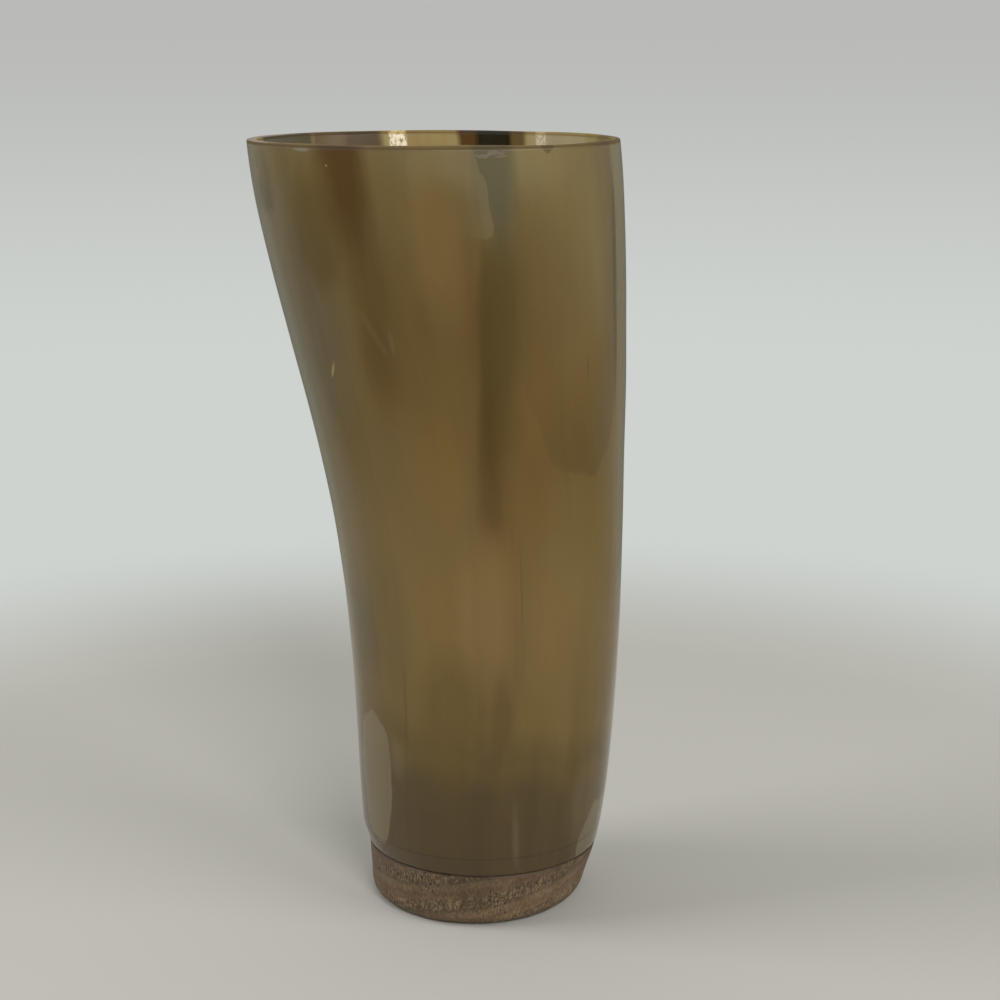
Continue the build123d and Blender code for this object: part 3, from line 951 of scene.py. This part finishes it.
@dataclass(frozen=True)
class SealFinish:
    """Poured amber seal, glossy, with darker clouds in it."""

    tones: tuple[Tone, Tone] = ((0.150, 0.085, 0.028), (0.085, 0.045, 0.016))
    cloud_fineness: float = 160.0
    cloud_layers: Pair = (3.0, 0.55)
    cloud_range: Pair = (0.35, 0.7)
    roughness: float = 0.12
    refraction: float = 1.5
    scatter_weight: float = 0.2
    scatter_depth: float = 1.0 * MM
    scatter_tones: Tone = (1.0, 0.5, 0.2)

    def build(self) -> bpy.types.Material:
        """Makes the material.

        Returns:
            The seal's material.
        """
        bench, material = NodeBench.for_material("poured_seal")
        clouds = bench.noise(bench.place(), self.cloud_fineness, *self.cloud_layers).outputs["Fac"]
        bench.surface({
            "Base Color": bench.mix(bench.span(clouds, *self.cloud_range), *self.tones),
            "Roughness": self.roughness,
            "IOR": self.refraction,
            "Subsurface Weight": self.scatter_weight,
            "Subsurface Radius": self.scatter_tones,
            "Subsurface Scale": self.scatter_depth,
        })
        return material


class EditBench:
    """Models one mesh ring by ring in edit mode."""

    def __init__(self, name: str, segments: int, level: float, centre: float, radius: float) -> None:
        """Adds the first ring, which is round.

        Args:
            name: The piece's name.
            segments: How many points a ring has.
            level: The first ring's level above the table.
            centre: Its centre in X.
            radius: Its radius.
        """
        self.centre = Vector((centre, 0.0, level))
        self.half_width = radius
        self.half_depth = radius
        bpy.ops.object.select_all(action="DESELECT")
        bpy.ops.mesh.primitive_circle_add(vertices=segments, radius=radius, location=self.centre)
        self.piece = bpy.context.object
        self.piece.name = name
        self.piece.data.name = name
        bpy.ops.object.transform_apply(location=True, rotation=True, scale=True)
        bpy.ops.object.mode_set(mode="EDIT")
        bpy.ops.mesh.select_mode(type="EDGE")
        bpy.ops.mesh.select_all(action="SELECT")

    def ring(self, level: float, centre: float, half_width: float, half_depth: float) -> None:
        """Extrudes the next ring.

        Args:
            level: The ring's level above the table.
            centre: Its centre in X.
            half_width: Its half width, along X.
            half_depth: Its half depth, along Y.
        """
        place = Vector((centre, 0.0, level))
        factors = (half_width / self.half_width, half_depth / self.half_depth, 1.0)
        bpy.ops.mesh.extrude_edges_move(TRANSFORM_OT_translate={"value": place - self.centre})
        bpy.ops.transform.resize(value=factors, center_override=place)
        self.centre = place
        self.half_width = half_width
        self.half_depth = half_depth

    def round_ring(self, level: float, centre: float, radius: float) -> None:
        """Extrudes the next ring, which is round."""
        self.ring(level, centre, radius, radius)

    def close_on_start(self) -> None:
        """Bridges the last ring to the first."""
        bpy.ops.mesh.select_all(action="DESELECT")
        bpy.ops.mesh.select_non_manifold()
        bpy.ops.mesh.bridge_edge_loops()

    def cap_start_and_end(self) -> None:
        """Closes the first and the last ring with a face each."""
        bpy.ops.mesh.select_all(action="DESELECT")
        bpy.ops.mesh.select_non_manifold()
        bpy.ops.mesh.edge_face_add()

    def finish(self) -> bpy.types.Object:
        """Turns the faces outwards and leaves edit mode.

        Returns:
            The piece.
        """
        bpy.ops.mesh.select_all(action="SELECT")
        bpy.ops.mesh.normals_make_consistent(inside=False)
        bpy.ops.object.mode_set(mode="OBJECT")
        return self.piece


def pick(piece: bpy.types.Object) -> None:
    """Selects a piece alone and makes it the active one.

    Args:
        piece: The piece.
    """
    bpy.ops.object.select_all(action="DESELECT")
    piece.select_set(True)
    bpy.context.view_layer.objects.active = piece


def apply_modifier(piece: bpy.types.Object, kind: str, **settings: object) -> None:
    """Adds a modifier to a piece and applies it.

    Args:
        piece: The piece.
        kind: Blender's name of the modifier type.
        **settings: The modifier's properties.
    """
    pick(piece)
    modifier = piece.modifiers.new(kind.lower(), kind)
    for name, setting in settings.items():
        setattr(modifier, name, setting)
    bpy.ops.object.modifier_apply(modifier=modifier.name)


def smooth(piece: bpy.types.Object, degrees: float) -> None:
    """Shades a piece smooth up to an angle.

    Args:
        piece: The piece.
        degrees: Edges sharper than this stay sharp.
    """
    pick(piece)
    bpy.ops.object.shade_smooth_by_angle(angle=math.radians(degrees))


def dress(piece: bpy.types.Object, material: bpy.types.Material, slot: Slot, *nodes: str) -> None:
    """Gives a piece its finish, its body and the nodes that it stands for.

    Args:
        piece: The piece.
        material: Its finish.
        slot: The record's slot for that finish; not used.
        *nodes: The CAD nodes that it replaces.
    """
    piece.data.materials.clear()
    piece.data.materials.append(material)
    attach(piece, "root")
    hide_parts(*nodes)
    log.info("%s: %d faces", piece.name, len(piece.data.polygons))


def steps(low: float, high: float, count: int) -> list[float]:
    """Evenly spaced numbers.

    Args:
        low: The first.
        high: The last.
        count: How many.

    Returns:
        The numbers.
    """
    return [low + (high - low) * k / (count - 1) for k in range(count)]


@dataclass
class HornBody:
    """The leaning horn: outside, lip, bore, ledge and socket."""

    height: float = 151.4 * MM
    seam_level: float = SEAM_LEVEL
    seam_radius: float = SEAM_RADIUS
    seam_lean: float = LEAN
    band_height: float = 3.8 * MM
    left_flare: tuple[float, ...] = (1.2 * MM, 3.6 * MM, 0.1 * MM, 18.4 * MM, 21.2 * MM)
    right_flare: tuple[float, ...] = (0.8 * MM, 6.2 * MM, 2.8 * MM, 6.7 * MM, 2.9 * MM)
    mouth_flattening: float = 2.5 * MM
    floor_level: float = FLOOR_LEVEL
    socket_radius: float = SOCKET_RADIUS
    bore_radius: float = BORE_RADIUS
    rim_wall: float = 1.9 * MM
    rim_bore_shift: float = 0.5 * MM
    lip_round: float = 0.45 * MM
    seam_round: float = SEAM_ROUND
    segments: int = 144
    outer_rings: int = 34
    bore_rings: int = 26
    lip_rings: int = 4
    wave_depth: float = 0.45 * MM
    wave_length: float = 26.0 * MM
    bore_depths: Pair = (0.25, 0.75)  # where the bore's finish starts and is full, in walls
    sharp_angle: float = 50.0

    def bezier(self, controls: tuple[float, ...], share: float) -> float:
        """A Bezier curve's value.

        Args:
            controls: Its control values.
            share: How far along it, 0 to 1.

        Returns:
            The value there.
        """
        degree = len(controls) - 1
        return sum(math.comb(degree, k) * share**k * (1 - share) ** (degree - k) * control
                   for k, control in enumerate(controls))

    def outer_section(self, level: float) -> Triple:
        """The outside at a level.

        Args:
            level: The level above the table.

        Returns:
            The section's centre in X, half width and half depth.
        """
        band_level = self.seam_level + self.band_height
        share = (level - band_level) / (self.height - band_level)
        if share < 0:
            centre, half_width, half_depth = self.outer_section(band_level)
            mix = (level - self.seam_level) / self.band_height
            return (self.seam_lean + mix * (centre - self.seam_lean),
                    self.seam_radius + mix * (half_width - self.seam_radius),
                    self.seam_radius + mix * (half_depth - self.seam_radius))
        left = self.seam_lean - self.seam_radius - self.bezier(self.left_flare, share)
        right = self.seam_lean + self.seam_radius + self.bezier(self.right_flare, share)
        half_width = (right - left) / 2
        return (right + left) / 2, half_width, half_width - share * self.mouth_flattening / 2

    def bore_section(self, level: float) -> Triple:
        """The inside at a level above the ledge.

        Args:
            level: The level above the table.

        Returns:
            The section's centre in X, half width and half depth.
        """
        share = (level - self.floor_level) / (self.height - self.floor_level)
        centre, half_width, half_depth = self.outer_section(level)
        floor_centre, floor_width, floor_depth = self.outer_section(self.floor_level)
        shift = (1 - share) * (self.seam_lean - floor_centre) + share * self.rim_bore_shift
        wall_x = (1 - share) * (floor_width - self.bore_radius) + share * self.rim_wall
        wall_y = (1 - share) * (floor_depth - self.bore_radius) + share * self.rim_wall
        return centre + shift, half_width - wall_x, half_depth - wall_y

    def outer_levels(self) -> list[float]:
        """The levels of the outside's rings, closer at the band's edge."""
        band_level = self.seam_level + self.band_height
        low = [self.seam_level + self.seam_round, self.seam_level + 2 * self.seam_round,
               band_level - 2 * self.seam_round, band_level + 2 * self.seam_round]
        return low + steps(band_level + self.band_height, self.height - self.lip_round, self.outer_rings)

    def model(self) -> bpy.types.Object:
        """Models the closed wall of the horn.

        Returns:
            The piece.
        """
        foot_radius = self.seam_radius - self.seam_round
        bench = EditBench("horn_wall", self.segments, self.seam_level, self.seam_lean, foot_radius)
        for level in self.outer_levels():
            bench.ring(level, *self.outer_section(level))
        for section, side, turns in ((self.outer_section, -1, steps(0.0, 90.0, self.lip_rings)[1:]),
                                     (self.bore_section, 1, steps(90.0, 0.0, self.lip_rings))):
            for turn in turns:
                inset = side * self.lip_round * (1 - math.cos(math.radians(turn)))
                level = self.height - self.lip_round * (1 - math.sin(math.radians(turn)))
                centre, half_width, half_depth = section(level)
                bench.ring(level, centre, half_width + inset, half_depth + inset)
        for level in steps(self.height - 2 * self.lip_round, self.floor_level, self.bore_rings):
            bench.ring(level, *self.bore_section(level))
        for level in (self.floor_level, self.floor_level - self.seam_round,
                      self.seam_level + self.seam_round, self.seam_level):
            bench.round_ring(level, self.seam_lean, self.socket_radius)
        bench.close_on_start()
        return bench.finish()

    def sand(self, piece: bpy.types.Object) -> None:
        """Gives the wall the soft unevenness of hand sanding, above the band.

        Args:
            piece: The horn.
        """
        group = piece.vertex_groups.new(name="hand_sanded")
        start, full = self.seam_level + self.band_height, self.floor_level
        for vertex in piece.data.vertices:
            weight = min(max((vertex.co.z - start) / (full - start), 0.0), 1.0)
            group.add([vertex.index], weight, "REPLACE")
        texture = bpy.data.textures.new("sanding_waves", "CLOUDS")
        texture.noise_scale = self.wave_length
        texture.noise_depth = 1
        apply_modifier(piece, "DISPLACE", texture=texture, texture_coords="LOCAL", strength=self.wave_depth,
                       mid_level=0.5, vertex_group=group.name)

    def map_around(self, piece: bpy.types.Object, name: str, bore_name: str) -> None:
        """Stores each point's direction from the axis, its height share and whether it lies in the bore.

        Args:
            piece: The horn.
            name: The name of the attribute for direction and height.
            bore_name: The name of the attribute for the bore, 1 inside and 0 outside.
        """
        values: list[float] = []
        bores: list[float] = []
        start, full = self.bore_depths
        for vertex in piece.data.vertices:
            level = min(max(vertex.co.z, self.seam_level), self.height)
            centre, half_width, half_depth = self.outer_section(level)
            side, front = (vertex.co.x - centre) / half_width, vertex.co.y / half_depth
            reach = math.hypot(side, front)
            share = (level - self.seam_level) / (self.height - self.seam_level)
            values += [side / reach, front / reach, share]
            depth = (1.0 - reach) * half_width / self.rim_wall
            bores.append(min(max((depth - start) / (full - start), 0.0), 1.0))
        piece.data.attributes.new(name, "FLOAT_VECTOR", "POINT").data.foreach_set("vector", values)
        piece.data.attributes.new(bore_name, "FLOAT", "POINT").data.foreach_set("value", bores)

    def build(self, finish: HornFinish) -> None:
        """Models and dresses the horn.

        Args:
            finish: Its finish.
        """
        piece = self.model()
        apply_modifier(piece, "SUBSURF", levels=1, render_levels=1)
        self.sand(piece)
        self.map_around(piece, finish.attribute, finish.bore_attribute)
        smooth(piece, self.sharp_angle)
        dress(piece, finish.build(), Slot.HORN, "horn_body")


@dataclass
class WoodFoot:
    """The turned wooden foot, with its open pores, and the tenon above it."""

    foot_height: float = FOOT_HEIGHT
    foot_radius: float = 21.0 * MM
    foot_round: float = 2.8 * MM
    shoulder_radius: float = SHOULDER_RADIUS
    seam_round: float = SEAM_ROUND
    lean: float = LEAN
    tenon_radius: float = TENON_RADIUS
    tenon_top: float = FLOOR_LEVEL
    tenon_chamfer: float = TENON_CHAMFER
    segments: int = 210
    side_rings: int = 16
    round_rings: int = 6
    under_rings: int = 3
    under_start: float = 0.1  # the underside's second ring, as a share of its flat
    vessel_turn: Triple = VESSEL_TURN
    pore_size: Triple = (0.8 * MM, 0.8 * MM, 2.0 * MM)
    pore_depth: float = 0.12 * MM
    pore_reach: float = 0.28
    cluster_fineness: float = PORE_CLUSTERS
    cluster_start: float = 0.08
    wave_depth: float = 0.10 * MM
    wave_fineness: float = 240.0
    flat_level: float = 0.05 * MM  # up to here the underside stays flat
    sharp_angle: float = 40.0

    def model(self) -> bpy.types.Object:
        """Models the foot and its tenon.

        Returns:
            The piece.
        """
        bench = EditBench("wood_foot", self.segments, 0.0, 0.0, START_RADIUS)
        flat_radius = self.foot_radius - self.foot_round
        for radius in steps(self.under_start * flat_radius, flat_radius, self.under_rings):
            bench.round_ring(0.0, 0.0, radius)
        slope = (self.shoulder_radius - self.foot_radius) / self.foot_height
        for turn in steps(0.0, 90.0, self.round_rings)[1:]:
            level = self.foot_round * (1 - math.cos(math.radians(turn)))
            radius = flat_radius + self.foot_round * math.sin(math.radians(turn)) + slope * level
            bench.round_ring(level, level / self.foot_height * self.lean, radius)
        for level in steps(self.foot_round, self.foot_height - self.seam_round, self.side_rings)[1:]:
            bench.round_ring(level, level / self.foot_height * self.lean, self.foot_radius + slope * level)
        bench.round_ring(self.foot_height, self.lean, self.shoulder_radius - self.seam_round)
        bench.round_ring(self.foot_height, self.lean, self.tenon_radius)
        bench.round_ring(self.tenon_top - self.tenon_chamfer, self.lean, self.tenon_radius)
        bench.round_ring(self.tenon_top, self.lean, self.tenon_radius - self.tenon_chamfer)
        bench.cap_start_and_end()
        return bench.finish()

    def weather(self, piece: bpy.types.Object) -> None:
        """Gives the sanded side its slight unevenness, and sinks a few open pores into it.

        Args:
            piece: The foot.
        """
        turn = Euler(self.vessel_turn).to_matrix()
        moves: list[Vector] = []
        for vertex in piece.data.vertices:
            along = turn @ vertex.co
            cell = Vector(length / size for length, size in zip(along, self.pore_size))
            pit = max(1.0 - (noise.voronoi(cell)[0][0] / self.pore_reach) ** 2, 0.0)
            crowded = noise.noise(vertex.co * self.cluster_fineness) > self.cluster_start
            open_share = pit if crowded else 0.0
            wave = self.wave_depth * noise.noise(vertex.co * self.wave_fineness)
            moves.append(vertex.normal * (wave - self.pore_depth * open_share))
        for vertex, move in zip(piece.data.vertices, moves):
            if self.flat_level < vertex.co.z < self.foot_height - self.seam_round / 2:
                vertex.co += move

    def build(self, finish: WoodFinish) -> None:
        """Models and dresses the foot.

        Args:
            finish: Its finish.
        """
        piece = self.model()
        apply_modifier(piece, "SUBSURF", levels=2, render_levels=2, subdivision_type="SIMPLE")
        self.weather(piece)
        smooth(piece, self.sharp_angle)
        dress(piece, finish.build(), Slot.WOOD, "base_plug")


@dataclass
class GlueLine:
    """The cured glue: a sleeve round the tenon and the uneven line that it left at the seam."""

    low_level: float = FOOT_HEIGHT
    high_level: float = SEAM_LEVEL
    sleeve_top: float = FLOOR_LEVEL - TENON_CHAMFER
    tenon_radius: float = TENON_RADIUS
    socket_radius: float = SOCKET_RADIUS
    line_radius: float = SHOULDER_RADIUS - SEAM_ROUND
    lean: float = LEAN
    segments: int = 240
    bead: float = 0.05 * MM
    squeeze_out: float = 0.35 * MM
    squeeze_fineness: float = 260.0
    sharp_angle: float = 50.0

    def model(self) -> bpy.types.Object:
        """Models the sleeve and the ring at its foot.

        Returns:
            The piece.
        """
        middle = (self.low_level + self.high_level) / 2
        rings = (
            (self.socket_radius, self.low_level),
            (self.line_radius, self.low_level),
            (self.line_radius + self.bead, middle),
            (self.line_radius, self.high_level),
            (self.socket_radius, self.high_level),
            (self.socket_radius, self.sleeve_top),
            (self.tenon_radius, self.sleeve_top),
        )
        bench = EditBench("glue_line", self.segments, self.low_level, self.lean, self.tenon_radius)
        for radius, level in rings:
            bench.round_ring(level, self.lean, radius)
        bench.close_on_start()
        return bench.finish()

    def squeeze(self, piece: bpy.types.Object) -> None:
        """Lets the line at the seam stand out here and lie back there.

        Args:
            piece: The glue.
        """
        for vertex in piece.data.vertices:
            out = Vector((vertex.co.x - self.lean, vertex.co.y, 0))
            if out.length > self.line_radius - self.bead:
                swell = noise.noise(vertex.co * self.squeeze_fineness)
                vertex.co += out.normalized() * self.squeeze_out * swell

    def build(self, finish: GlueFinish) -> None:
        """Models and dresses the glue.

        Args:
            finish: Its finish.
        """
        piece = self.model()
        self.squeeze(piece)
        smooth(piece, self.sharp_angle)
        dress(piece, finish.build(), Slot.GLUE, "glue_joint")


@dataclass
class PouredFloor:
    """The seal that was poured over the tenon: a floor with slow waves that climbs the wall."""

    level: float = FLOOR_LEVEL
    thickness: float = 1.0 * MM
    climb: float = 1.5 * MM
    radius: float = BORE_RADIUS
    lean: float = LEAN
    segments: int = 120
    flat_rings: int = 9
    climb_rings: int = 7
    wave_depth: float = 0.12 * MM
    wave_fineness: float = 110.0
    calm_share: float = 0.125  # the waves die away over this share of the radius, at the wall
    sharp_angle: float = 50.0

    def model(self, horn: HornBody) -> bpy.types.Object:
        """Models the seal to fit the bore.

        Args:
            horn: The horn that it is poured into.

        Returns:
            The piece.
        """
        flat_level = self.level + self.thickness
        top_level = flat_level + self.climb
        inner = self.radius - self.climb
        bench = EditBench("poured_floor", self.segments, self.level, self.lean, START_RADIUS)
        for level in steps(self.level, top_level, self.climb_rings):
            bench.ring(level, *horn.bore_section(level))
        for turn in steps(0.0, 90.0, self.climb_rings):
            radius = inner + self.climb * math.cos(math.radians(turn))
            level = top_level - self.climb * math.sin(math.radians(turn))
            bench.round_ring(level, self.lean, radius)
        for radius in steps(inner, START_RADIUS, self.flat_rings)[1:]:
            bench.round_ring(flat_level, self.lean, radius)
        bench.cap_start_and_end()
        return bench.finish()

    def settle(self, piece: bpy.types.Object) -> None:
        """Gives the top the slow waves of a pour that set by itself.

        Args:
            piece: The seal.
        """
        for vertex in piece.data.vertices:
            if vertex.co.z > self.level + self.thickness / 2:
                inward = 1.0 - math.hypot(vertex.co.x - self.lean, vertex.co.y) / self.radius
                wave = noise.noise(vertex.co * self.wave_fineness)
                vertex.co.z += self.wave_depth * wave * min(max(inward / self.calm_share, 0.0), 1.0)

    def build(self, horn: HornBody, finish: SealFinish) -> None:
        """Models and dresses the seal.

        Args:
            horn: The horn that it is poured into.
            finish: Its finish.
        """
        piece = self.model(horn)
        self.settle(piece)
        smooth(piece, self.sharp_angle)
        dress(piece, finish.build(), Slot.SEAL, "floor_seal")


@dataclass(frozen=True)
class Lamp:
    """A soft square lamp: its name, place, side and power in watts."""

    name: str
    place: Triple
    size: float
    power: float


@dataclass
class Studio:
    """A pale floor, a pale surround, soft lamps and the camera."""

    floor_radius: float = 0.32
    floor_segments: int = 96
    floor_fade: Pair = (0.45, 0.95)
    floor_tone: Tone = (0.40, 0.388, 0.356)
    glow: tuple[tuple[float, Tone], ...] = (
        (0.00, (0.12, 0.12, 0.12)),
        (0.10, (0.13, 0.135, 0.13)),
        (0.55, (0.335, 0.36, 0.315)),
        (0.78, (0.36, 0.385, 0.335)),
        (1.00, (0.17, 0.185, 0.165)),
    )
    backdrop_low: Tone = (0.62, 0.65, 0.625)
    backdrop_high: Tone = (0.49, 0.495, 0.48)
    horizon: Pair = (-0.16, 0.02)
    lamps: tuple[Lamp, ...] = (
        Lamp("top_softbox", (-0.10, 0.15, 0.95), 0.9, 3.0),
        Lamp("front_softbox", (0.30, -1.00, 0.65), 0.4, 9.3),
        Lamp("left_softbox", (-0.97, -0.10, 0.60), 0.6, 8.7),
        Lamp("right_softbox", (0.85, -0.48, 0.66), 0.7, 6.2),
    )
    aim: Triple = (0.0, 0.0, 75.0 * MM)
    camera_place: Triple = (4.95 * MM, -378.0 * MM, 168.4 * MM)
    camera_pitch: float = 13.0
    lens: float = 70.92
    sensor: float = 36.0
    nearest: float = 0.01

    def floor(self) -> None:
        """Lays the floor, which fades into the surround."""
        bpy.ops.object.select_all(action="DESELECT")
        bpy.ops.mesh.primitive_circle_add(vertices=self.floor_segments, radius=self.floor_radius,
                                          fill_type="NGON")
        floor = bpy.context.object
        floor.name = "studio_floor"
        bench, material = NodeBench.for_material("pale_floor")
        reach = bench.add("ShaderNodeVectorMath", {0: bench.place()}, operation="LENGTH").outputs["Value"]
        start, end = (share * self.floor_radius for share in self.floor_fade)
        seen = bench.span(reach, start, end, 1.0, 0.0)
        paint = bench.add("ShaderNodeBsdfDiffuse", {"Color": self.floor_tone}).outputs[0]
        clear = bench.add("ShaderNodeBsdfTransparent", {}).outputs[0]
        both = bench.add("ShaderNodeMixShader", {0: seen, 1: clear, 2: paint}).outputs[0]
        bench.add("ShaderNodeOutputMaterial", {"Surface": both})
        floor.data.materials.append(material)

    def surround(self) -> None:
        """Makes the pale surround, dim on the camera's side and brightest behind, to both sides."""
        world = bpy.data.worlds.new("pale_surround")
        bpy.context.scene.world = world
        bench = NodeBench(world)
        way = bench.add("ShaderNodeTexCoord", {}).outputs["Generated"]
        light = bench.ramp(bench.part(way, "Y"), self.glow)
        rise = bench.span(bench.part(way, "Z"), *self.horizon)
        backdrop = bench.mix(rise, self.backdrop_low, self.backdrop_high)
        camera = bench.add("ShaderNodeLightPath", {}).outputs["Is Camera Ray"]
        seen = bench.mix(camera, light, backdrop)
        glow = bench.add("ShaderNodeBackground", {"Color": seen, "Strength": 1.0}).outputs[0]
        bench.add("ShaderNodeOutputWorld", {"Surface": glow})

    def hang(self, lamp: Lamp) -> None:
        """Hangs a lamp that points at the cup.

        Args:
            lamp: The lamp.
        """
        data = bpy.data.lights.new(lamp.name, "AREA")
        data.size = lamp.size
        data.energy = lamp.power
        light = bpy.data.objects.new(lamp.name, data)
        bpy.context.scene.collection.objects.link(light)
        light.location = lamp.place
        way = Vector(self.aim) - Vector(lamp.place)
        light.rotation_euler = way.to_track_quat("-Z", "Y").to_euler()

    def camera(self) -> None:
        """Sets the camera where the photograph was taken from."""
        data = bpy.data.cameras.new("photo_camera")
        data.lens = self.lens
        data.sensor_width = self.sensor
        data.clip_start = self.nearest
        camera = bpy.data.objects.new("photo_camera", data)
        bpy.context.scene.collection.objects.link(camera)
        camera.location = self.camera_place
        camera.rotation_euler = (math.radians(90.0 - self.camera_pitch), 0.0, 0.0)
        bpy.context.scene.camera = camera

    def build(self) -> None:
        """Sets up the studio."""
        self.floor()
        self.surround()
        for lamp in self.lamps:
            self.hang(lamp)
        self.camera()
        bpy.context.scene.view_settings.view_transform = "Standard"


def main() -> None:
    """Builds the cup piece by piece, and the studio around it."""
    logging.basicConfig(level=logging.INFO, format="%(name)s %(message)s")
    horn = HornBody()
    horn.build(HornFinish())
    WoodFoot().build(WoodFinish())
    GlueLine().build(GlueFinish())
    PouredFloor().build(horn, SealFinish())
    Studio().build()


if __name__ == "__main__":
    main()
